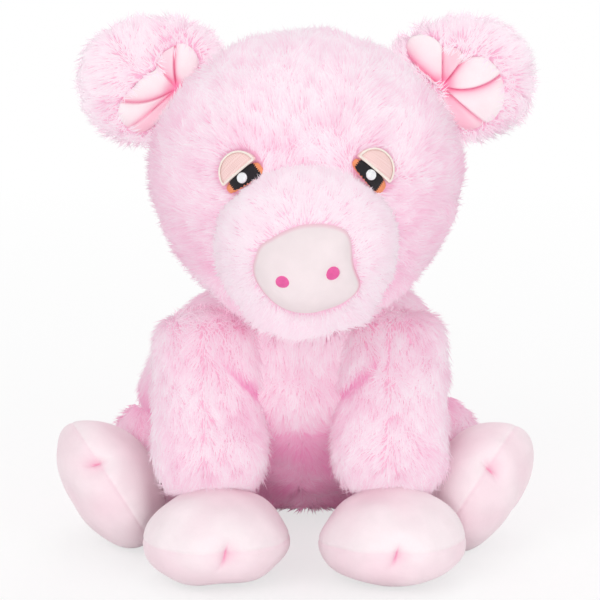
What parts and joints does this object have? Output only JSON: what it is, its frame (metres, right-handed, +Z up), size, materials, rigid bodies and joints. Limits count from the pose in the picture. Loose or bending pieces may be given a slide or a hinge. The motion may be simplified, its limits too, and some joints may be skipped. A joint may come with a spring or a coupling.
{
  "type": "plush pig",
  "caption": "Seated plush pig with a large turning head, flapping ears, embroidered half-closed eyes, velour hooves and soft swinging legs.",
  "frame": {"origin": "the middle of the bounding box's base, on the floor that the pig sits on", "axes": "+Z up, -Y the way the pig looks, +X its own left"},
  "size_m": [0.2392, 0.2624, 0.2674],
  "materials": {
    "fur": "long-pile fur",
    "filling": "loose fibre",
    "pellet_cloth": "plain weave",
    "muzzle_fur": "short-pile fur",
    "nose_velour": "short velour",
    "nostril_thread": "satin stitch",
    "iris_thread": "satin stitch",
    "pupil_thread": "satin stitch",
    "glint_thread": "satin stitch",
    "lid_velour": "short velour",
    "rim_thread": "satin stitch",
    "lining_velour": "short velour",
    "hoof_velour": "short velour",
    "tail_velour": "short velour"
  },
  "bodies": {
    "torso": {"torso_skin": "fur", "torso_filling": "filling", "seat_pellet_bag": "pellet_cloth"},
    "neck": {"neck_filling": "filling"},
    "head": {"head_skin": "fur", "head_filling": "filling", "muzzle_cover": "muzzle_fur", "nose_pad": "nose_velour", "nostril_left": "nostril_thread", "nostril_right": "nostril_thread", "iris_left": "iris_thread", "pupil_left": "pupil_thread", "glint_left": "glint_thread", "eyelid_left": "lid_velour", "eyelid_rim_left": "rim_thread", "iris_right": "iris_thread", "pupil_right": "pupil_thread", "glint_right": "glint_thread", "eyelid_right": "lid_velour", "eyelid_rim_right": "rim_thread"},
    "ear_left": {"ear_outer_left": "fur", "ear_lining_left": "lining_velour"},
    "ear_right": {"ear_outer_right": "fur", "ear_lining_right": "lining_velour"},
    "front_leg_left": {"front_leg_left_sleeve": "fur", "front_leg_left_hoof": "hoof_velour", "front_leg_left_filling": "filling"},
    "front_leg_right": {"front_leg_right_sleeve": "fur", "front_leg_right_hoof": "hoof_velour", "front_leg_right_filling": "filling"},
    "hind_leg_left": {"hind_leg_left_sleeve": "fur", "hind_leg_left_hoof": "hoof_velour", "hind_leg_left_filling": "filling"},
    "hind_leg_right": {"hind_leg_right_sleeve": "fur", "hind_leg_right_hoof": "hoof_velour", "hind_leg_right_filling": "filling"},
    "tail": {"tail": "tail_velour"}
  },
  "joints": [
    {"name": "neck_turn", "type": "hinge", "parent": "torso", "child": "neck", "pos_m": [0.00599, -0.01168, 0.112], "axis": [0, 0, 1], "range_deg": [-15, 15], "stiffness_Nm_per_rad": 0.12},
    {"name": "neck_nod", "type": "hinge", "parent": "neck", "child": "head", "pos_m": [0.00599, -0.01168, 0.112], "axis": [1, 0, 0], "range_deg": [-10, 10], "stiffness_Nm_per_rad": 0.3},
    {"name": "ear_flap_left", "type": "hinge", "parent": "head", "child": "ear_left", "pos_m": [0.06947, -0.02168, 0.22823], "axis": [0.5446, 0, -0.8387], "range_deg": [-20, 25], "stiffness_Nm_per_rad": 0.02},
    {"name": "ear_flap_right", "type": "hinge", "parent": "head", "child": "ear_right", "pos_m": [-0.0575, -0.02168, 0.22823], "axis": [0.5446, 0, 0.8387], "range_deg": [-20, 25], "stiffness_Nm_per_rad": 0.02},
    {"name": "front_leg_swing_left", "type": "hinge", "parent": "torso", "child": "front_leg_left", "pos_m": [0.04799, -0.03668, 0.104], "axis": [-1, 0, 0], "range_deg": [0, 30], "stiffness_Nm_per_rad": 0.08},
    {"name": "front_leg_swing_right", "type": "hinge", "parent": "torso", "child": "front_leg_right", "pos_m": [-0.04201, -0.03668, 0.104], "axis": [-1, 0, 0], "range_deg": [0, 30], "stiffness_Nm_per_rad": 0.08},
    {"name": "hind_leg_splay_left", "type": "hinge", "parent": "torso", "child": "hind_leg_left", "pos_m": [0.05299, 0.04332, 0.038], "axis": [0, 0, 1], "range_deg": [0, 18], "stiffness_Nm_per_rad": 0.08},
    {"name": "hind_leg_splay_right", "type": "hinge", "parent": "torso", "child": "hind_leg_right", "pos_m": [-0.04701, 0.04332, 0.038], "axis": [0, 0, -1], "range_deg": [0, 18], "stiffness_Nm_per_rad": 0.08},
    {"name": "tail_wag", "type": "hinge", "parent": "torso", "child": "tail", "pos_m": [-0.00088, 0.09805, 0.052], "axis": [0, 0, 1], "range_deg": [-20, 20], "stiffness_Nm_per_rad": 0.005}
  ]
}
